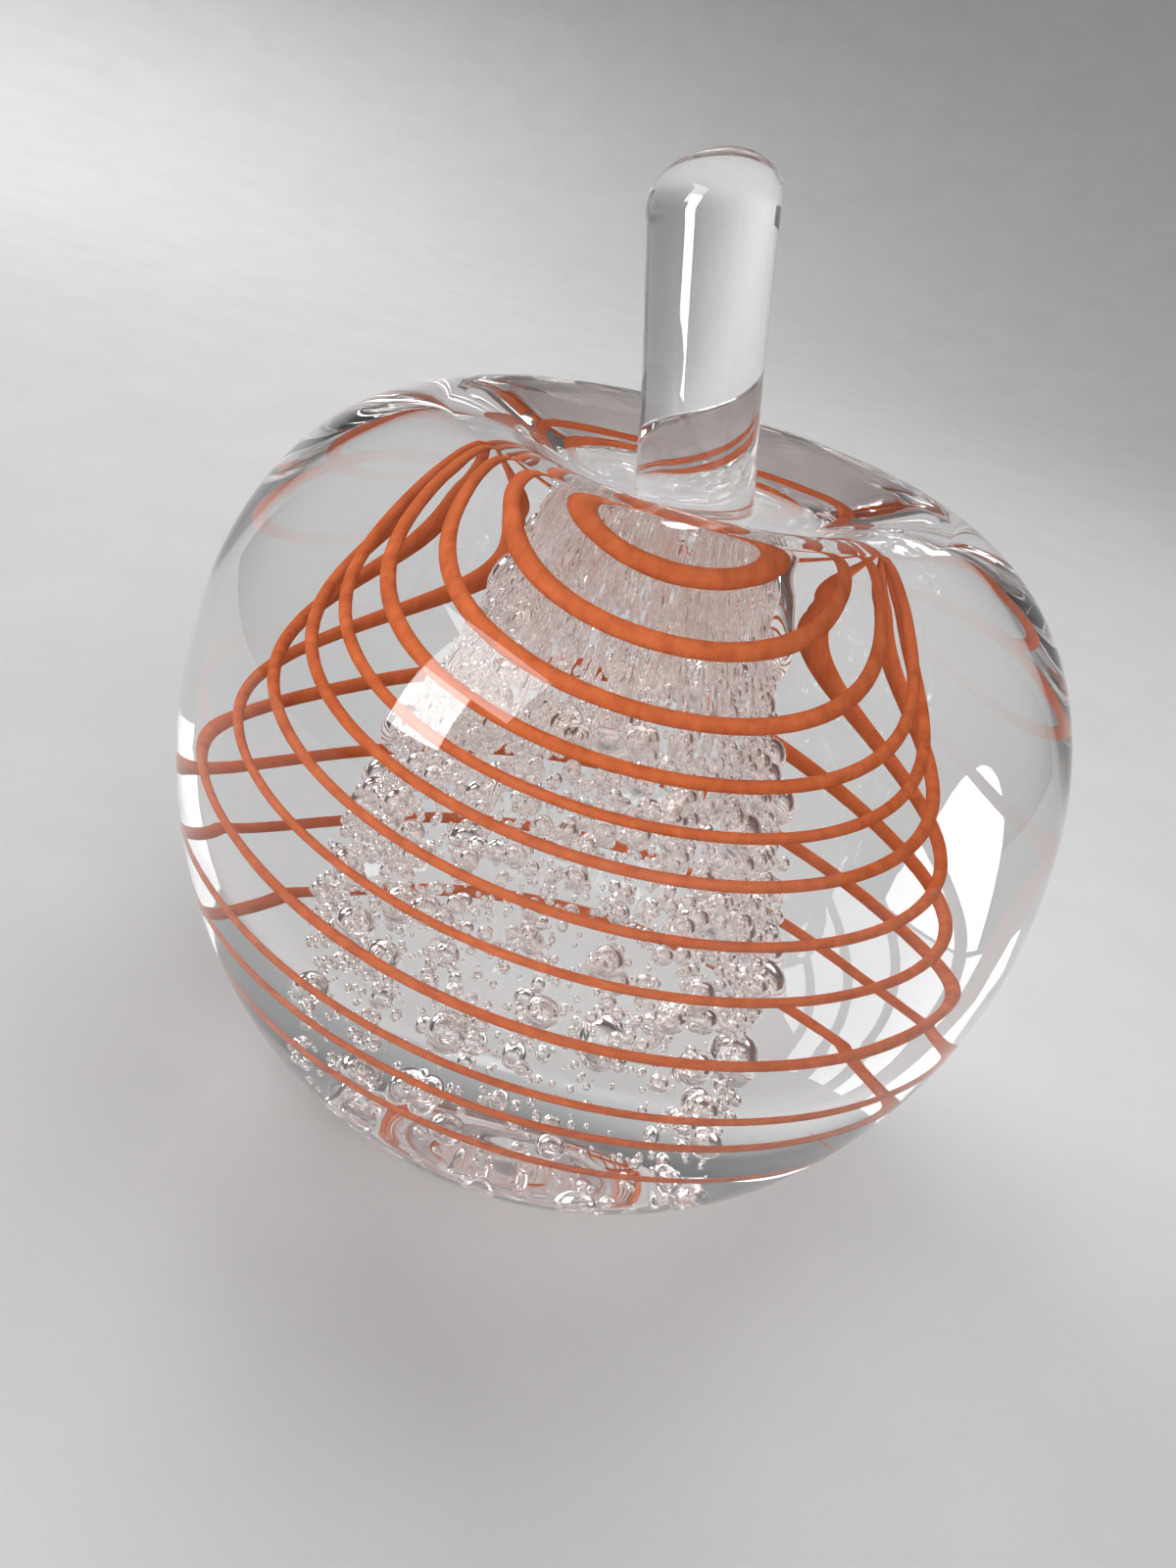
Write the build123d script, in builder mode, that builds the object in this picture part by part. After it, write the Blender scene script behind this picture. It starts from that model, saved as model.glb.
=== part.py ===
"""A solid glass apple, built up in layers as it is made at the furnace.

A clear core is rolled in powder that leaves a veil of tiny bubbles on its skin. A second layer of
clear glass is gathered over it, and a soft orange thread is wound on that in one long spiral from
the top down. A thick clear outer layer is gathered over the thread and shaped into the apple. Its
top is pressed into a dimple, a clear stem is set in the dimple, and the base is ground flat through
all the layers.

Millimetres. The origin is the centre of the flat base, and +Z runs up the apple's axis.
"""

from build123d import *

import math
import os

os.makedirs("parts", exist_ok=True)

# Outer layer, which has the apple's own shape
apple_radius = 45.0
apple_height = 73.4
apple_widest_z = 39.4
apple_rim_radius = 20.3
apple_base_radius = 19.7
apple_shoulder_power = 2.22
apple_foot_power = 1.82
dimple_depth = 7.0
dimple_power = 0.95

# Second layer, which carries the thread
casing_wall = 19.6
gather_widest_z = 24.7
glass_over_gather = 3.3
gather_neck_radius = 8.4
gather_off_centre = 0.9
gather_dome_power = 1.76
gather_foot_power = 1.1

# Core, whose skin holds the bubbles
gather_wall = 10.7
core_widest_z = 25.0
glass_over_core = 5.1
core_crown_radius = 6.0
core_neck_radius = 4.5
core_off_centre = 1.5
core_cone_power = 1.3
core_foot_power = 2.0
core_least_cover = 1.5

# Orange thread, wound on the second layer from the top down
thread_width = 1.5
thread_skin = 0.15
thread_sides = 4
thread_start = 10.5
thread_pitch = 3.05
thread_widening = 0.18
thread_turns = 12.25
thread_start_angle = -60.0

# Stem, a clear rod that leans and ends in a slanted dome
stem_foot_radius = 5.95
stem_waist_radius = 5.6
stem_head_radius = 6.15
stem_waist_length = 13.3
stem_head_length = 28.5
stem_dome_height = 4.6
stem_foot_offset = 0.85
stem_seat_margin = 0.3
stem_lean = 11.8
stem_dome_slant = 15.0

# Straight bands and flat sides that stand for the round outlines
shoulder_bands = 8
foot_bands = 5
dimple_bands = 3
gather_dome_bands = 8
gather_foot_bands = 5
core_cone_bands = 5
core_foot_bands = 3
gather_sides = 32
core_sides = 24
stem_sides = 32
stem_dome_bands = 5
arcs_in_turn = 4
walk_steps = 200

# Sizes and heights that follow from those above
dimple_floor_z = apple_height - dimple_depth
dimple_floor_radius = stem_foot_radius + stem_foot_offset + stem_seat_margin
gather_radius = apple_radius - casing_wall
gather_top_z = dimple_floor_z - glass_over_gather
core_radius = gather_radius - gather_wall
core_top_z = gather_top_z - glass_over_core


def swell(wide_radius, wide_z, end_radius, end_z, power, bands):
    """Outline points (radius, height) from one end of a swelling form to its widest place.

    The outline is a quarter of a superellipse: the share of the way out, raised to the power, and
    the share of the way along, raised to it too, add up to one. A power of 2 is an ellipse, more is
    fuller and less is leaner.
    """
    points = []
    for band in range(bands + 1):
        turn = math.pi / 2 * band / bands
        out = math.sin(turn) ** (2 / power)
        along = max(math.cos(turn), 0) ** (2 / power)
        points.append((end_radius + (wide_radius - end_radius) * out, wide_z + (end_z - wide_z) * along))
    return points


def dimple(bands):
    """Outline points of the dimple's dish, from the rim in to the edge of its flat floor."""
    points = []
    for band in range(1, bands + 1):
        share = band / bands
        way = share**dimple_power
        sunk = 3 * way**2 - 2 * way**3
        radius = apple_rim_radius + (dimple_floor_radius - apple_rim_radius) * share
        points.append((radius, apple_height - dimple_depth * sunk))
    return points


def upward(foot, top):
    """The whole side of a form from its foot to its top, from two outlines that meet where it is widest."""
    return foot + top[-2::-1]


def ring(centre, way_out, way_across, radius, sides):
    """Points evenly round a circle with the given centre, in the plane of the two directions."""
    turns = [2 * math.pi * side / sides for side in range(sides)]
    return [centre + way_out * (radius * math.cos(turn)) + way_across * (radius * math.sin(turn)) for turn in turns]


def level_rings(outline, off_centre, sides):
    """Level rings of points up the outline of an upright form whose axis is shifted towards -X."""
    out, across = Vector(1, 0, 0), Vector(0, 1, 0)
    return [point for radius, z in outline for point in ring(Vector(-off_centre, 0, z), out, across, radius, sides)]


def radius_at(outline, z):
    """The radius of an upward outline at a height, on the straight band that passes there."""
    for (r0, z0), (r1, z1) in zip(outline[:-1], outline[1:]):
        if z0 <= z <= z1:
            return r0 + (r1 - r0) * (z - z0) / (z1 - z0)
    return outline[-1][0]


def covered(outline, skin, cover):
    """The outline, with each point at least the cover inside the skin of the layer that lies over it."""
    return [(min(radius, radius_at(skin, z) - cover), z) for radius, z in outline]


# Second layer: an egg of clear glass over the core, drawn in to a neck at the base
gather_foot = swell(gather_radius, gather_widest_z, gather_neck_radius, 0, gather_foot_power, gather_foot_bands)
gather_dome = swell(gather_radius, gather_widest_z, 0, gather_top_z, gather_dome_power, gather_dome_bands)
gather_side = upward(gather_foot, gather_dome[1:]) + [gather_dome[0]]
with BuildPart() as whole_gather:
    ConvexPolyhedron(level_rings(gather_side, gather_off_centre, gather_sides))

# Core: a cone with a round shoulder, a little to one side of the apple's axis
core_side = upward(
    swell(core_radius, core_widest_z, core_neck_radius, 0, core_foot_power, core_foot_bands),
    swell(core_radius, core_widest_z, core_crown_radius, core_top_z, core_cone_power, core_cone_bands),
)
with BuildPart() as core_gather:
    ConvexPolyhedron(level_rings(covered(core_side, gather_side, core_least_cover), core_off_centre, core_sides))
core_gather.part.label = "core_gather"

with BuildPart() as thread_gather:
    add(whole_gather.part)
    add(core_gather.part, mode=Mode.SUBTRACT)
thread_gather.part.label = "thread_gather"


# Thread: its middle line runs just outside the second layer
def gather_walk():
    """The second layer's outline from its top down, as rows of (distance walked, radius, height)."""
    dome = swell(gather_radius, gather_widest_z, 0, gather_top_z, gather_dome_power, walk_steps)
    foot = swell(gather_radius, gather_widest_z, gather_neck_radius, 0, gather_foot_power, walk_steps)
    points = dome + foot[-2::-1]
    walked = 0.0
    rows = [(walked, *points[0])]
    for before, after in zip(points[:-1], points[1:]):
        walked += math.dist(before, after)
        rows.append((walked, *after))
    return rows


walk = gather_walk()
thread_lift = thread_width / 2 + thread_skin


def thread_place(turn):
    """The middle of the thread after so many turns, down and anticlockwise, each turn a little wider apart."""
    distance = thread_start + thread_pitch * turn + thread_widening * turn**2 / 2
    step = next(step for step in range(1, len(walk)) if walk[step][0] >= distance)
    (d0, r0, z0), (d1, r1, z1) = walk[step - 1], walk[step]
    share = (distance - d0) / (d1 - d0)
    radius = r0 + (r1 - r0) * share + thread_lift * (z0 - z1) / (d1 - d0)
    height = z0 + (z1 - z0) * share + thread_lift * (r1 - r0) / (d1 - d0)
    angle = math.radians(thread_start_angle) + 2 * math.pi * turn
    return Vector(radius * math.cos(angle) - gather_off_centre, radius * math.sin(angle), height)


def thread_way(turn):
    """The thread's direction after so many turns."""
    step = 1 / walk_steps
    return (thread_place(turn + step) - thread_place(turn - step)).normalized()


def biarc_joint(start, start_way, end, end_way):
    """Where two arcs meet that leave start and reach end in the given directions, with no corner."""
    chord = end - start
    ways = start_way + end_way
    spread = 2 * (1 - start_way.dot(end_way))
    reach = (math.sqrt(chord.dot(ways) ** 2 + spread * chord.dot(chord)) - chord.dot(ways)) / spread
    return (start + end + (start_way - end_way) * reach) / 2


arc_count = round(thread_turns * arcs_in_turn)
stops = [thread_turns * stop / arc_count for stop in range(arc_count + 1)]
with BuildPart() as spiral_thread:
    with BuildLine() as thread_line:
        for before, after in zip(stops[:-1], stops[1:]):
            start, end = thread_place(before), thread_place(after)
            joint = biarc_joint(start, thread_way(before), end, thread_way(after))
            first = TangentArc(start, joint, tangent=thread_way(before))
            TangentArc(joint, end, tangent=first % 1)
    with BuildSketch(Plane(origin=thread_place(0), z_dir=thread_way(0))):
        RegularPolygon(thread_width / 2, thread_sides)
    sweep(path=thread_line.line)
spiral_thread.part.label = "spiral_thread"

# The least gap between one turn of the thread and the next, measured on points along its line
points_in_turn = 24
thread_points = [thread_place(point / points_in_turn) for point in range(int(thread_turns * points_in_turn) + 1)]
least_gap = min(
    (one - other).length - thread_width
    for place, one in enumerate(thread_points)
    for other in thread_points[place + points_in_turn // 2 :]
)
print(f"Least gap between turns of the thread: {least_gap:.2f} mm")

# Outer layer: the apple, filled by the second layer up to its dome
apple_side = upward(
    swell(apple_radius, apple_widest_z, apple_base_radius, 0, apple_foot_power, foot_bands),
    swell(apple_radius, apple_widest_z, apple_rim_radius, apple_height, apple_shoulder_power, shoulder_bands),
)
with BuildPart() as outer_casing:
    with BuildSketch(Plane.XZ):
        with BuildLine():
            Polyline((0, 0), *apple_side, *dimple(dimple_bands), (0, dimple_floor_z), close=True)
        make_face()
    revolve(axis=Axis.Z)
    add(whole_gather.part, mode=Mode.SUBTRACT)
outer_casing.part.label = "outer_casing"


# Stem: narrowest at its waist, with its foot flat on the dimple's floor
def stem_ring(length, tilt, radius):
    """A ring of points round the stem's line, so far along it, in a plane tilted towards -X."""
    lean, turn = math.radians(stem_lean), math.radians(tilt)
    centre = Vector(stem_foot_offset - length * math.sin(lean), 0, dimple_floor_z + length * math.cos(lean))
    return ring(centre, Vector(math.cos(turn), 0, math.sin(turn)), Vector(0, 1, 0), radius, stem_sides)


def dome_ring(turn):
    """A ring of the slanted dome, from its shoulder at no turn to its tip at a quarter turn."""
    slant = math.radians(stem_lean + stem_dome_slant)
    rise = stem_dome_height * math.sin(turn)
    shift = Vector(-rise * math.sin(slant), 0, rise * math.cos(slant))
    level = stem_ring(stem_head_length, stem_lean + stem_dome_slant, stem_head_radius * math.cos(turn))
    return [point + shift for point in level]


waist = stem_ring(stem_waist_length, stem_lean, stem_waist_radius)
dome = [
    point for band in range(stem_dome_bands) for point in dome_ring(math.pi / 2 * band / stem_dome_bands)
]
with BuildPart() as stem:
    ConvexPolyhedron(stem_ring(0, 0, stem_foot_radius) + waist)
    ConvexPolyhedron(waist + dome + [dome_ring(math.pi / 2)[0]])
stem.part.label = "stem"

export_step(core_gather.part, "parts/core_gather.step")
export_step(thread_gather.part, "parts/thread_gather.step")
export_step(spiral_thread.part, "parts/spiral_thread.step")
export_step(outer_casing.part, "parts/outer_casing.step")
export_step(stem.part, "parts/stem.step")
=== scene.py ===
"""Clear glass apple with a leaning stem, a veil of bubbles and a wound orange thread.

The apple's outer skin and its stem are two closed skins of one clear glass. The thread is a tube of
orange glass and the bubbles are small closed skins of air, both sealed inside the clear glass.
"""

import math

import bpy
import numpy as np
from mathutils import Matrix, Vector


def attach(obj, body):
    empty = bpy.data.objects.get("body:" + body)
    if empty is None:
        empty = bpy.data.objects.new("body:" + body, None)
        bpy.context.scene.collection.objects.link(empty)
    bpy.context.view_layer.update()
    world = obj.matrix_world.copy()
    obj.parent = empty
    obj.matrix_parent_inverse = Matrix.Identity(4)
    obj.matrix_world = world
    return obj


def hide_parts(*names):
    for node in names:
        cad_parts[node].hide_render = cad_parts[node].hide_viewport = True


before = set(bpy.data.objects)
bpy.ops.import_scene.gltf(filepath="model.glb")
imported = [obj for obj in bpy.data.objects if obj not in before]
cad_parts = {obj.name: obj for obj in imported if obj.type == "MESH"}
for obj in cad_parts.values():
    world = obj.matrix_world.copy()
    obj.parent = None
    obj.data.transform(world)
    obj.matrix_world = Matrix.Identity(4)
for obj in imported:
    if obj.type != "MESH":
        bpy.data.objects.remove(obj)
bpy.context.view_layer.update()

MM = 0.001
TAU = 2 * math.pi
X, Y, Z = np.eye(3)

# Seeded, so that every run draws the same bubbles
hand = np.random.default_rng(41)

# ---------------------------------------------------------------- sizes

# Millimetres. Radii are from the apple's axis and heights from its base. The apple's own radius and the
# stem's dome are a hair under the solids', so that nothing leaves their box
APPLE_RADIUS, APPLE_HEIGHT, WIDEST_Z = 44.98, 73.4, 39.4
RIM_RADIUS, BASE_RADIUS = 20.3, 19.7
SHOULDER_POWER, FOOT_POWER = 2.22, 1.82
DIMPLE_DEPTH, DIMPLE_POWER, DIMPLE_FLOOR = 7.0, 1.46, 7.1

# The rim rolls over more than the shoulder's own curve: where that starts, its crest and the slope's power
LIP_START, LIP_CREST, LIP_POWER = 30.8, 24.45, 0.53

# Rings of the apple's skin. Those of the base are radii, and those of its softened edge, which replace the
# foot's first ones, are (in, up). A gap keeps the shoulder's last ring off the lip's first
AROUND = 192
BASE_RINGS = (4, 8, 12, 16, 18.5, 19.2)
BASE_EDGE = ((0.3, 0.02), (0.08, 0.1))
FOOT_RINGS, FOOT_FIRST = 70, 4
SHOULDER_RINGS, SHOULDER_GAP = 100, 0.2
LIP_RINGS, LIP_CROWDING, LIP_SUM_STEPS = 30, 1.6, 2000
DIMPLE_RINGS = 60

# Stem: angles in degrees, and its radius by the share of its length
STEM_FOOT_X, STEM_LEAN, STEM_SLANT = 0.85, 11.8, 15.0
STEM_LENGTH, STEM_DOME, DOME_FULLNESS, DOME_RINGS = 28.5, 4.48, 0.9, 26
STEM_SHARES = np.array([0, 0.18, 0.46, 0.75, 1.01])
STEM_RADII = np.array([5.93, 5.78, 5.6, 5.82, 6.08])
LEAN_LENGTH, SLANT_START = 5, 0.45
WELD_RADIUS, WELD_LENGTH, WELD_FLARE, WELD_POWER = 6.9, 1.6, 0.88, 2.4
STEM_RINGS = np.r_[np.linspace(0.12, WELD_LENGTH, 10), np.linspace(2.2, STEM_LENGTH, 44)]

# Thread: its height, its distance from its own axis and its half width, by the turn
THREAD_TURNS, THREAD_START, THREAD_SHIFT = 12.25, math.radians(-60), 0.9
RING_TURNS = np.array([-0.1, 0.5, 1, 1.5, 2, 3, 4, 5, 6, 7, 8, 9, 10, 11, 12, 12.5])
RING_HEIGHTS = np.array([
    61.0, 59.1, 57.55, 56.3, 55.0, 51.5, 48.7, 45.6, 42.5, 38.3, 34.0, 28.8, 23.6, 19.8, 15.2, 13.0,
])
RING_RADII = np.array([
    9.6, 10.5, 11.3, 12.7, 14.2, 16.8, 19.7, 21.2, 22.5, 23.9, 24.9, 26.0, 26.2, 23.7, 21.0, 20.0,
])
WIDTH_TURNS = np.array([0, 0.6, 1.2, 1.8, 2.5, 3.5, 5, 7, 9.5, 12.5])
WIDTHS = np.array([0.46, 0.50, 0.54, 0.60, 0.57, 0.52, 0.46, 0.42, 0.39, 0.37])
THREAD_STEPS, THREAD_SIDES = 1500, 14

# The thread's unevenness, how thick it can be at its start and further down, and its tapers, in turns
SLOW_SWELL, SLOW_RATE, QUICK_SWELL, QUICK_RATE, QUICK_START = 0.07, 2.3, 0.05, 7.1, 1
THICK_END, THICK_EXTRA, THICK_TURNS = 0.42, 0.15, 4
START_TAPER, END_TAPER, LEAST_END = 0.05, 0.3, 0.0004

# Core, whose skin holds the bubbles
CORE_SHIFT = 1.5
CORE_HEIGHTS = np.array([0, 6, 12, 17.3, 20.5, 26, 30, 34, 41, 44, 48.5, 50.7, 54, 57.5])
CORE_RADII = np.array([
    10.2, 12.2, 13.5, 14.2, 14.5, 14.7, 14.6, 14.0, 12.1, 11.3, 9.65, 8.9, 8.4, 7.6,
])


# ---------------------------------------------------------------- shapes

def ease(share):
    """Smooth step from 0 to 1: three times the square less twice the cube. It takes numbers and wires."""
    return share * share * (3 - 2 * share)


def smooth(share):
    """The smooth step of a share that is first held between 0 and 1."""
    return ease(np.clip(share, 0, 1))


def swell(wide_radius, wide_z, end_radius, end_z, power, steps):
    """Quarter of a superellipse, end to widest place: sine and cosine, each raised to 2 / power."""
    turn = np.linspace(0, TAU / 4, steps)
    out, up = np.sin(turn) ** (2 / power), np.cos(turn).clip(0) ** (2 / power)
    return np.c_[end_radius + (wide_radius - end_radius) * out, wide_z + (end_z - wide_z) * up]


def lip(steps):
    """The rolled rim, from where it leaves the shoulder in to its crest.

    The angle of its slope is the shoulder's angle there times a power of the share of the way left to the
    crest, and its height adds up the tangents of that angle.
    """
    share = (LIP_START - RIM_RADIUS) / (APPLE_RADIUS - RIM_RADIUS)
    rise, left = APPLE_HEIGHT - WIDEST_Z, 1 - share ** SHOULDER_POWER
    steepness = (share / left ** (1 / SHOULDER_POWER)) ** (SHOULDER_POWER - 1)
    slope = rise / (APPLE_RADIUS - RIM_RADIUS) * steepness
    way = np.linspace(1, 0, steps) ** LIP_CROWDING
    radius = LIP_CREST + (LIP_START - LIP_CREST) * way
    fine = np.linspace(0, 1, LIP_SUM_STEPS)
    tangent = np.tan(math.atan(slope) * fine ** LIP_POWER) * (LIP_START - LIP_CREST) / len(fine)
    climb = np.cumsum(tangent[::-1])[::-1]
    return np.c_[radius, WIDEST_Z + rise * left ** (1 / SHOULDER_POWER) + np.interp(way, fine, climb)]


LIP_TOP = lip(2)[-1, 1]


def dish(radius):
    """Height of the dimple's surface: a smooth step of a power of the share of the way in from the crest."""
    share = np.clip((LIP_CREST - radius) / (LIP_CREST - DIMPLE_FLOOR), 0, 1)
    floor = APPLE_HEIGHT - DIMPLE_DEPTH
    return LIP_TOP - (LIP_TOP - floor) * smooth(share ** DIMPLE_POWER)


def circle(centre, out, across, radius, around):
    """Ring of points: centre plus radius times cosine along one direction and sine along the other."""
    turn = np.arange(around) / around * TAU
    return centre + radius * (np.cos(turn)[:, None] * out + np.sin(turn)[:, None] * across)


def along(turns, places, values):
    """Smooth curve through values at places: cubic pieces whose slopes are the neighbours' mean slopes."""
    slopes = np.gradient(values, places)
    at = np.clip(np.searchsorted(places, turns) - 1, 0, len(places) - 2)
    step = places[at + 1] - places[at]
    s = (turns - places[at]) / step
    start, end = values[at], values[at + 1]
    return (
        (1 + 2 * s) * (1 - s) ** 2 * start + s * (1 - s) ** 2 * step * slopes[at]
        + s * s * (3 - 2 * s) * end + s * s * (s - 1) * step * slopes[at + 1]
    )


def dish_ring(shift, radius):
    """Ring on the dimple's surface: a level circle, moved along X, whose points take the dish's height."""
    ring = circle(shift * X, X, Y, radius, AROUND)
    ring[:, 2] = dish(np.hypot(ring[:, 0], ring[:, 1]))
    return ring


def weld_ring(radius):
    """Ring round the stem's foot on the dimple's floor. The apple and the stem share its points exactly."""
    return dish_ring(STEM_FOOT_X, radius)


def apple_rings():
    """Rings up the apple's skin, over its rim and into the dimple, whose rings drift to the stem's foot."""
    foot = swell(APPLE_RADIUS, WIDEST_Z, BASE_RADIUS, 0, FOOT_POWER, FOOT_RINGS)
    shoulder = swell(APPLE_RADIUS, WIDEST_Z, RIM_RADIUS, APPLE_HEIGHT, SHOULDER_POWER, SHOULDER_RINGS)
    side = [
        *[(r, 0.0) for r in BASE_RINGS],
        *[(BASE_RADIUS - inward, up) for inward, up in BASE_EDGE],
        *foot[FOOT_FIRST:-1],
        *[point for point in shoulder[::-1] if point[0] > LIP_START + SHOULDER_GAP],
        *lip(LIP_RINGS),
    ]
    rings = [circle(z * Z, X, Y, r, AROUND) for r, z in side]
    for radius in np.linspace(LIP_CREST, WELD_RADIUS, DIMPLE_RINGS)[1:-1]:
        drift = smooth((LIP_CREST - radius) / (LIP_CREST - WELD_RADIUS))
        rings.append(dish_ring(STEM_FOOT_X * drift, radius))
    return np.array(rings + [weld_ring(WELD_RADIUS)])


def joint_rings():
    """The disc where stem and apple are fused, from its middle out to the weld ring."""
    return np.array([weld_ring(r) for r in (2.0, 4.0, 6.0, WELD_RADIUS)])


def tilted(angle):
    """Two directions in the plane of X and Z, tilted towards -X: across the stem and along it."""
    out = np.array([math.cos(angle), 0, math.sin(angle)])
    up = np.array([-math.sin(angle), 0, math.cos(angle)])
    return out, up


def stem_rings():
    """Rings along the leaning stem: a weld fillet, a waist, a fuller head and a dome tilted off the line.

    The fillet adds a power of the share of its length that is left, and the dome is a quarter of an
    ellipse whose cosine is raised to a power.
    """
    lean, slant = math.radians(STEM_LEAN), math.radians(STEM_LEAN + STEM_SLANT)
    foot = np.array([STEM_FOOT_X, 0, APPLE_HEIGHT - DIMPLE_DEPTH])
    way = tilted(lean)[1]
    rings = [weld_ring(WELD_RADIUS)]
    for length in STEM_RINGS:
        share = length / STEM_LENGTH
        to_slant = smooth((share - SLANT_START) / (1 - SLANT_START))
        tilt = lean * smooth(length / LEAN_LENGTH) + (slant - lean) * to_slant
        radius = along(share, STEM_SHARES, STEM_RADII)
        radius += WELD_FLARE * (1 - min(length / WELD_LENGTH, 1)) ** WELD_POWER
        rings.append(circle(foot + way * length, tilted(tilt)[0], Y, radius, AROUND))
    out, up = tilted(slant)
    for turn in np.linspace(0, TAU / 4, DOME_RINGS)[1:-1]:
        centre = foot + way * STEM_LENGTH + up * STEM_DOME * np.sin(turn)
        rings.append(circle(centre, out, Y, STEM_RADII[-1] * np.cos(turn) ** DOME_FULLNESS, AROUND))
    return np.array(rings)


def fans_and_strips(count, around):
    """Faces of a closed skin: squares between its rings, and a fan of triangles from each end's pole."""
    index = np.arange(count * around).reshape(count, around)
    beside = np.roll(index, -1, axis=1)
    low, high = count * around, count * around + 1
    start_fan = np.stack([np.full(around, low), beside[0], index[0]], -1)
    squares = np.stack([index[:-1], beside[:-1], beside[1:], index[1:]], -1).reshape(-1, 4)
    end_fan = np.stack([index[-1], beside[-1], np.full(around, high)], -1)
    return start_fan, squares, end_fan


def place(name, verts, faces):
    """Smooth object at the origin, from points in millimetres and faces."""
    mesh = bpy.data.meshes.new(name)
    mesh.from_pydata((verts * MM).tolist(), [], faces)
    mesh.polygons.foreach_set("use_smooth", np.ones(len(mesh.polygons), bool))
    mesh.update()
    thing = bpy.data.objects.new(name, mesh)
    bpy.context.scene.collection.objects.link(thing)
    return thing


def skin(name, rings, start=None, joint=None, joint_first=False):
    """Closed skin through rings of points, with a pole at each end. Joint rings close one end as a disc.

    The disc's faces take the second material.
    """
    if joint is not None:
        rings = np.concatenate([joint[:-1], rings] if joint_first else [rings, joint[:-1][::-1]])
    poles = [rings[0].mean(0) if start is None else start, rings[-1].mean(0)]
    start_fan, squares, end_fan = fans_and_strips(*rings.shape[:2])
    faces = start_fan.tolist() + squares.tolist() + end_fan.tolist()
    thing = place(name, np.concatenate([rings.reshape(-1, 3), poles]), faces)
    if joint is not None:
        second = np.zeros(len(faces), int)
        disc = len(joint) * rings.shape[1]
        second[slice(0, disc) if joint_first else slice(-disc, None)] = 1
        thing.data.polygons.foreach_set("material_index", second)
        thing.data.update()
    return thing


# ---------------------------------------------------------------- thread

def unit(rows):
    """Each row divided by its length."""
    return rows / np.linalg.norm(rows, axis=1, keepdims=True)


def thread_skin():
    """Flattened tube along the spiral: widest in its second turn, rounder and finer further down.

    Its middle line turns evenly round its axis, at a radius and a height that follow the turn. Each ring
    is an ellipse: cosine times the half width along the spiral's own skin, sine times the half thickness
    out of it.
    """
    turns = np.linspace(0, THREAD_TURNS, THREAD_STEPS)
    angle = THREAD_START + TAU * turns
    radius, height = along(turns, RING_TURNS, RING_RADII), along(turns, RING_TURNS, RING_HEIGHTS)
    line = np.c_[radius * np.cos(angle) - THREAD_SHIFT, radius * np.sin(angle), height]
    way = unit(np.gradient(line, axis=0))
    slope = unit(np.c_[np.gradient(radius, turns), np.gradient(height, turns)])
    outward = np.c_[-slope[:, 1] * np.cos(angle), -slope[:, 1] * np.sin(angle), slope[:, 0]]
    outward = unit(outward - (outward * way).sum(1, keepdims=True) * way)
    flat = np.cross(way, outward)

    width = along(turns, WIDTH_TURNS, WIDTHS)
    slow, quick = np.sin(turns * SLOW_RATE), np.sin(turns * QUICK_RATE + QUICK_START)
    width *= 1 + SLOW_SWELL * slow + QUICK_SWELL * quick
    thick = np.minimum(width, THICK_END + THICK_EXTRA * np.exp(-turns / THICK_TURNS))
    to_end = np.minimum(turns / START_TAPER, (THREAD_TURNS - turns) / END_TAPER)
    ends = np.sqrt(np.clip(to_end, LEAST_END, 1))

    turn = np.arange(THREAD_SIDES) / THREAD_SIDES * TAU
    section = (
        np.cos(turn)[None, :, None] * (flat * (width * ends)[:, None])[:, None]
        + np.sin(turn)[None, :, None] * (outward * (thick * ends)[:, None])[:, None]
    )
    return skin("wound_thread", line[:, None] + section)


# ---------------------------------------------------------------- bubbles

def ball(rows, around):
    """Unit sphere: rows of latitude, each a ring, with a pole at each end."""
    lat = np.linspace(-TAU / 4, TAU / 4, rows + 2)[1:-1, None]
    turn = np.arange(around)[None] / around * TAU
    rings = np.stack([np.cos(lat) * np.cos(turn), np.cos(lat) * np.sin(turn), np.sin(lat) + 0 * turn], -1)
    start_fan, squares, end_fan = fans_and_strips(rows, around)
    tris = np.r_[squares[:, [0, 1, 2]], squares[:, [0, 2, 3]], start_fan, end_fan]
    return np.r_[rings.reshape(-1, 3), [[0, 0, -1], [0, 0, 1]]], tris


def core_radius(heights):
    """Radius of the core's skin at its heights, on straight pieces between the traced ones."""
    return np.interp(heights, CORE_HEIGHTS, CORE_RADII)


def bubbles(name, heights, size, spread, limits, stretch, depth, depth_spread, rows, around):
    """One mesh of many bubbles: each a sphere, scaled, stretched down the core's skin and set at its place.

    Sizes are drawn from a bell curve of their logarithms and held between the limits, the stretch is
    drawn evenly between two values, and the depth off the core's skin from a bell curve.
    """
    count = len(heights)
    sizes = hand.lognormal(math.log(size), spread, count).clip(*limits)
    stretch = hand.uniform(*stretch, count)
    depths = hand.normal(depth, depth_spread, count)
    angle = hand.uniform(0, TAU, count)
    radius = core_radius(heights) + depths
    slope = core_radius(heights + 1) - core_radius(heights - 1)
    out = np.c_[np.cos(angle), np.sin(angle), np.zeros(count)]
    up = unit(np.c_[np.cos(angle) * slope / 2, np.sin(angle) * slope / 2, np.ones(count)])
    side = unit(np.cross(up, out))
    face = np.cross(side, up)
    centre = np.c_[radius * np.cos(angle) - CORE_SHIFT, radius * np.sin(angle), heights]
    ball_points, tris = ball(rows, around)
    points = (
        centre[:, None]
        + ball_points[None, :, 0, None] * (face * sizes[:, None])[:, None]
        + ball_points[None, :, 1, None] * (side * sizes[:, None])[:, None]
        + ball_points[None, :, 2, None] * (up * (sizes * stretch)[:, None])[:, None]
    )
    faces = tris[None] + (np.arange(count) * len(ball_points))[:, None, None]
    return place(name, points.reshape(-1, 3), faces.reshape(-1, 3).tolist())


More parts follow.
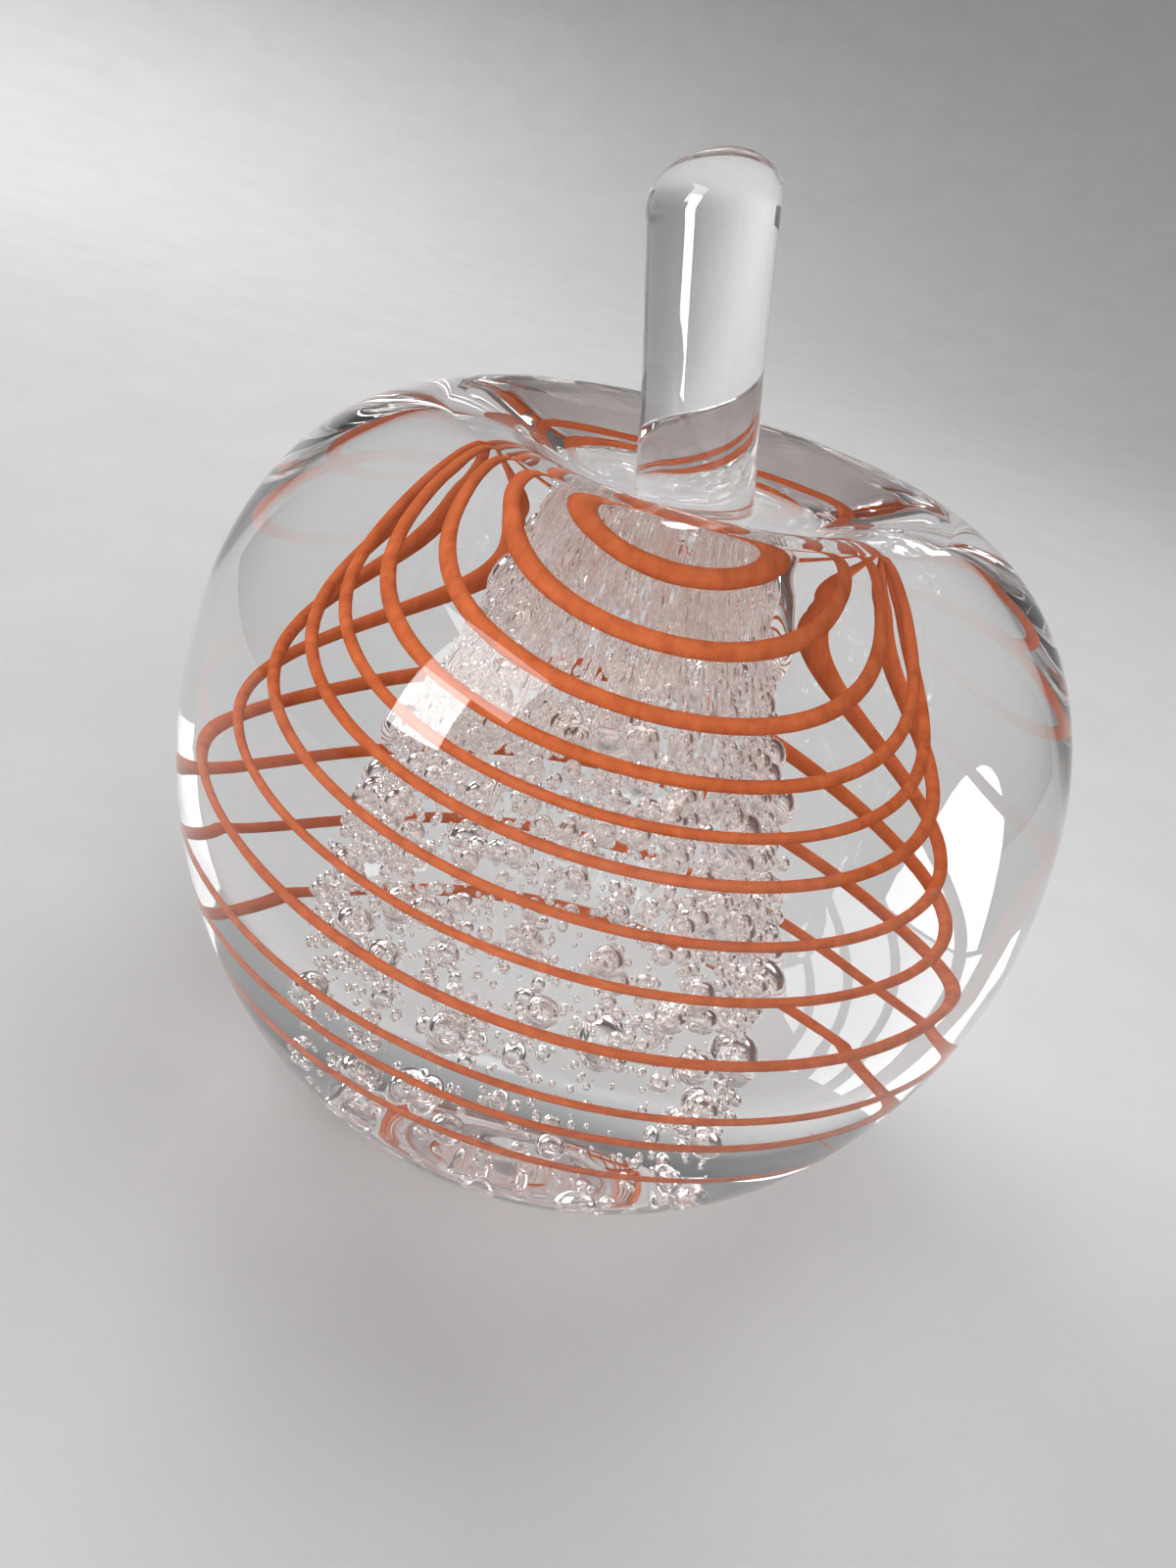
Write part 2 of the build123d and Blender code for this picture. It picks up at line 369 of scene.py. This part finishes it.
# ---------------------------------------------------------------- materials

class Wire:
    """A socket that maths can be written with: operators add the Math node they stand for."""

    def __init__(self, finish, socket):
        self.finish, self.socket = finish, socket

    def maths(self, operation, first, second):
        return self.finish.node("ShaderNodeMath", {"operation": operation}, {0: first, 1: second})

    def __sub__(self, other):
        return self.maths("SUBTRACT", self, other)

    def __rsub__(self, other):
        return self.maths("SUBTRACT", other, self)

    def __mul__(self, other):
        return self.maths("MULTIPLY", self, other)

    __rmul__ = __mul__


class Finish:
    """A material and its nodes."""

    def __init__(self, name, **sockets):
        self.material = bpy.data.materials.new(name)
        self.material.use_nodes = True
        self.nodes, self.links = self.material.node_tree.nodes, self.material.node_tree.links
        self.shader = self.nodes["Principled BSDF"]
        for socket, value in sockets.items():
            self.set(socket.replace("_", " "), value)

    def set(self, socket, value):
        """Value or wire into one of the shader's sockets."""
        self.feed(self.shader.inputs[socket], value)

    def feed(self, target, value):
        """Value or wire into any socket."""
        if isinstance(value, Wire):
            self.links.new(value.socket, target)
        else:
            target.default_value = value

    def node(self, kind, settings=None, values=None, out=0):
        """Any node: its settings, then the values or wires of its sockets, and the output that is wanted."""
        made = self.nodes.new(kind)
        for key, value in (settings or {}).items():
            if key == "stops":
                for stop, (at, colour) in zip(made.color_ramp.elements, value):
                    stop.position, stop.color = at, colour
            else:
                setattr(made, key, value)
        for key, value in (values or {}).items():
            self.feed(made.inputs[key], value)
        return Wire(self, made.outputs[out])

    def place(self):
        """Object coordinates, which are metres from the centre of the apple's base."""
        return self.node("ShaderNodeTexCoord", out="Object")

    def noise(self, scale, detail, roughness=0.5):
        """Cloudy noise from 0 to 1."""
        values = {"Vector": self.place(), "Scale": scale, "Detail": detail, "Roughness": roughness}
        return self.node("ShaderNodeTexNoise", values=values, out="Fac")

    def ramp(self, share, *stops):
        """Colour between two stops, each a place and a colour."""
        return self.node("ShaderNodeValToRGB", {"stops": stops}, {"Fac": share}, out="Color")


def clear_glass():
    """Clear polished glass with the faint waves of a hand-shaped skin."""
    glass = Finish("clear_glass", Base_Color=(1, 1, 1, 1), Roughness=0.0, IOR=1.5, Transmission_Weight=1.0)
    wave = glass.noise(60.0, 1.0, 0.4)
    bump = {"Strength": 0.05, "Distance": 0.001, "Height": wave}
    glass.set("Normal", glass.node("ShaderNodeBump", values=bump, out="Normal"))
    return glass.material


ORANGE_TONES = (0.3, (0.66, 0.14, 0.045, 1)), (0.7, (0.88, 0.22, 0.075, 1))


def orange_glass():
    """Soft opaque orange glass, clouded darker and redder in places."""
    orange = Finish("orange_glass", Roughness=0.45, IOR=1.5, Specular_IOR_Level=0.0)
    orange.set("Base Color", orange.ramp(orange.noise(700.0, 3.0, 0.6), *ORANGE_TONES))
    return orange.material


def bubble_air():
    """Air trapped in glass: a skin that light crosses from glass into air."""
    air = Finish("bubble_air")
    air.nodes.remove(air.shader)
    values = {"Color": (1, 0.985, 0.975, 1), "Roughness": 0.0, "IOR": 1 / 1.5}
    skin_of_air = air.node("ShaderNodeBsdfGlass", values=values, out="BSDF")
    air.feed(air.nodes["Material Output"].inputs["Surface"], skin_of_air)
    return air.material


def fused_joint():
    """The disc where two pieces of one glass are fused. It can't be seen."""
    return Finish("fused_joint", Alpha=0.0).material


FLOOR_TONES = (0.3, (0.76, 0.76, 0.76, 1)), (0.7, (0.80, 0.80, 0.795, 1))
# Painted shade: between these two heights in metres the floor's colour darkens to this grey, as studio light
# falling off upwards would
SHADE_START, SHADE_END, PAINTED_SHADE_TONE = 0.24, 0.6, (0.2, 0.2, 0.205, 1)


def pale_floor():
    """Pale matt studio floor. It curves up to a closed top, and painted shade darkens it to grey with
    height.

    The painted shade is a smooth step of the share of the way between two heights in metres. The mix takes
    that in its socket 0, and the two tones in 6 and 7.
    """
    floor = Finish("pale_floor", Roughness=0.85)
    height = floor.node("ShaderNodeSeparateXYZ", values={"Vector": floor.place()}, out="Z")
    held = {"operation": "DIVIDE", "use_clamp": True}
    share = floor.node("ShaderNodeMath", held, {0: height - SHADE_START, 1: SHADE_END - SHADE_START})
    tone = floor.ramp(floor.noise(40.0, 4.0), *FLOOR_TONES)
    mix = {0: ease(share), 6: tone, 7: PAINTED_SHADE_TONE}
    floor.set("Base Color", floor.node("ShaderNodeMix", {"data_type": "RGBA"}, mix, out=2))
    return floor.material


GLASS, ORANGE, AIR, JOINT = clear_glass(), orange_glass(), bubble_air(), fused_joint()


# ---------------------------------------------------------------- the apple

def strewn(*bands):
    """Heights drawn evenly within bands, each given as its lowest, its highest and how many."""
    return np.concatenate([hand.uniform(*band) for band in bands])


def dress(piece, slot, *materials, replaces=()):
    """Materials, ride and the CAD nodes that a piece stands for. The slot it is given is not used."""
    for material in materials:
        piece.data.materials.append(material)
    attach(piece, "root")
    if replaces:
        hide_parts(*replaces)


joint = joint_rings()
apple = skin("apple_glass", apple_rings(), start=np.zeros(3), joint=joint)
dress(apple, "clear_glass", GLASS, JOINT, replaces=("outer_casing", "thread_gather", "core_gather"))
stem = skin("apple_stem", stem_rings(), joint=joint, joint_first=True)
dress(stem, "clear_glass", GLASS, JOINT, replaces=("stem",))
thread = thread_skin()
dress(thread, "orange_glass", ORANGE, replaces=("spiral_thread",))

# Fine streaks crowd at the core's top. The few drawn too low are strewn over its upper part instead
STREAKS, STREAKS_TOP, STREAKS_SPREAD, STREAKS_LEAST = 2700, 57.3, 6.5, 40
heights = STREAKS_TOP - np.abs(hand.normal(0, STREAKS_SPREAD, STREAKS))
heights = np.where(heights < STREAKS_LEAST, strewn((45, 57, STREAKS)), heights)
drawn = bubbles(
    "drawn_bubbles", heights, size=0.17, spread=0.4, limits=(0.08, 0.42), stretch=(1.2, 5.5),
    depth=0, depth_spread=0.35, rows=5, around=6,
)
dress(drawn, "clear_glass", AIR)

# Below them lie fine bubbles and larger round ones, fewer towards the base
fine = bubbles(
    "fine_bubbles", strewn((22, 50, 2300), (2, 22, 500)), size=0.25, spread=0.45, limits=(0.1, 0.55),
    stretch=(0.95, 1.3), depth=0, depth_spread=0.5, rows=5, around=7,
)
dress(fine, "clear_glass", AIR)
round_ones = bubbles(
    "round_bubbles", strewn((24, 47, 400), (8, 24, 90)), size=0.66, spread=0.45, limits=(0.35, 1.7),
    stretch=(0.95, 1.12), depth=0.2, depth_spread=0.5, rows=9, around=14,
)
dress(round_ones, "clear_glass", AIR)

# ---------------------------------------------------------------- studio

# The floor's flat and the radius of its curved edge, in metres. The drop, in millimetres, sets it a hair
# under the apple. Its skin is closed at the top too
FLOOR_FLAT, FLOOR_CURVE, FLOOR_SIDES, FLOOR_DROP = 0.6, 0.75, 96, 0.15
profile = [(r, 0.0) for r in np.linspace(0.02, FLOOR_FLAT, 12)] + [
    (FLOOR_FLAT + FLOOR_CURVE * math.sin(a), FLOOR_CURVE - FLOOR_CURVE * math.cos(a))
    for a in np.linspace(0.1, 1.45, 18)
]
bowl = np.array([circle(z * Z, X, Y, r, FLOOR_SIDES) for r, z in profile]) / MM
studio_floor = skin("studio_floor", bowl - FLOOR_DROP * Z)
studio_floor.data.materials.append(pale_floor())


# Where the lights aim, and a card's half depth and its height, in metres
AIM = Vector((0, 0, 0.045))
CARD_DEPTH, CARD_HEIGHT = 0.3, 0.45


def softbox(name, azimuth, elevation, distance, width, height, power, mirrored=True, only=()):
    """Soft rectangular light that faces the apple from a direction given in degrees.

    A light with pieces in only falls on them and leaves the floor alone, as a window on polished glass
    does. One that isn't mirrored lights the scene and doesn't show in reflections.
    """
    lamp = bpy.data.lights.new(name, "AREA")
    lamp.shape, lamp.size, lamp.size_y, lamp.energy = "RECTANGLE", width, height, power
    thing = bpy.data.objects.new(name, lamp)
    a, e = math.radians(azimuth), math.radians(elevation)
    way = Vector((math.cos(e) * math.cos(a), math.cos(e) * math.sin(a), math.sin(e)))
    thing.location = AIM + way * distance
    thing.rotation_euler = way.to_track_quat("Z", "Y").to_euler()
    thing.visible_camera, thing.visible_glossy = False, mirrored
    bpy.context.scene.collection.objects.link(thing)
    if only:
        lit = thing.light_linking.receiver_collection = bpy.data.collections.new(name + "_lit")
        for piece in only:
            lit.objects.link(piece)


def dark_card(name, x):
    """Upright dark card beside the apple, out of view, which draws the dark edges of clear glass."""
    foot = [(x, -CARD_DEPTH, 0), (x, CARD_DEPTH, 0)]
    top = [(x, CARD_DEPTH, CARD_HEIGHT), (x, -CARD_DEPTH, CARD_HEIGHT)]
    mesh = bpy.data.meshes.new(name)
    mesh.from_pydata(foot + top, [], [(0, 1, 2, 3)])
    mesh.materials.append(Finish(name, Base_Color=(0.14, 0.14, 0.14, 1), Roughness=0.9).material)
    card = bpy.data.objects.new(name, mesh)
    bpy.context.scene.collection.objects.link(card)
    card.visible_camera = card.visible_diffuse = card.visible_shadow = False


# Each light's azimuth, elevation, distance, width and height in metres, and power in watts
pieces = (apple, stem, thread, drawn, fine, round_ones)
softbox("top_light", 60, 72, 0.56, 0.4, 0.4, 1.05, mirrored=False)
softbox("front_window", -140, 34, 0.8, 0.56, 0.26, 2.6, only=pieces)
softbox("low_window", -143, 12, 1.1, 0.46, 0.5, 9.5, only=pieces)
softbox("right_panel", -15, 26, 0.95, 0.6, 0.8, 1.6)
softbox("back_light", 130, 38, 0.95, 0.6, 0.5, 7.0, mirrored=False)
softbox("front_fill", -80, 48, 0.9, 0.7, 0.7, 9.0, mirrored=False)

# A near strip that only the stem catches, for the long bright line down its left side
softbox("stem_strip", -127, 11, 0.24, 0.075, 0.18, 0.75, only=(stem,))
dark_card("left_card", -0.42)
dark_card("right_card", 0.42)

# A faint sky, for what is seen from outside the closed studio
world = bpy.data.worlds.new("studio")
world.use_nodes = True
background = world.node_tree.nodes["Background"].inputs
background["Color"].default_value = (0.9, 0.95, 1.0, 1)
background["Strength"].default_value = 0.28
bpy.context.scene.world = world

# ---------------------------------------------------------------- camera

# Fitted to the outline: angles in degrees, the middle of the view and the distance in millimetres, and
# the focal length and the taller side of the frame in its pixels
CAMERA_ELEVATION, CAMERA_ROLL = 27.5, 15.26
CAMERA_AIM, CAMERA_DISTANCE = Vector((-2.31, 0, 36.01)), 138.19
FOCAL_PIXELS, FRAME_PIXELS, SENSOR = 1300, 1600, 36

elevation, roll = math.radians(CAMERA_ELEVATION), math.radians(CAMERA_ROLL)
forward = Vector((0, math.cos(elevation), -math.sin(elevation)))
right = Vector((1, 0, 0))
up = right.cross(forward)
right, up = right * math.cos(roll) + up * math.sin(roll), up * math.cos(roll) - right * math.sin(roll)
lens = bpy.data.cameras.new("photo_camera")
lens.lens, lens.sensor_width, lens.clip_start = FOCAL_PIXELS / FRAME_PIXELS * SENSOR, SENSOR, 0.005
camera = bpy.data.objects.new("photo_camera", lens)
turned = Matrix((right, up, -forward)).transposed().to_4x4()
turned.translation = (CAMERA_AIM - forward * CAMERA_DISTANCE) * MM
camera.matrix_world = turned
bpy.context.scene.collection.objects.link(camera)
bpy.context.scene.camera = camera

view = bpy.context.scene.view_settings
view.view_transform, view.look = "Standard", "None"

# Light crosses many skins of glass and air, so its paths are long
cycles = bpy.context.scene.cycles
cycles.max_bounces, cycles.transmission_bounces, cycles.glossy_bounces = 40, 40, 16
cycles.transparent_max_bounces = 16
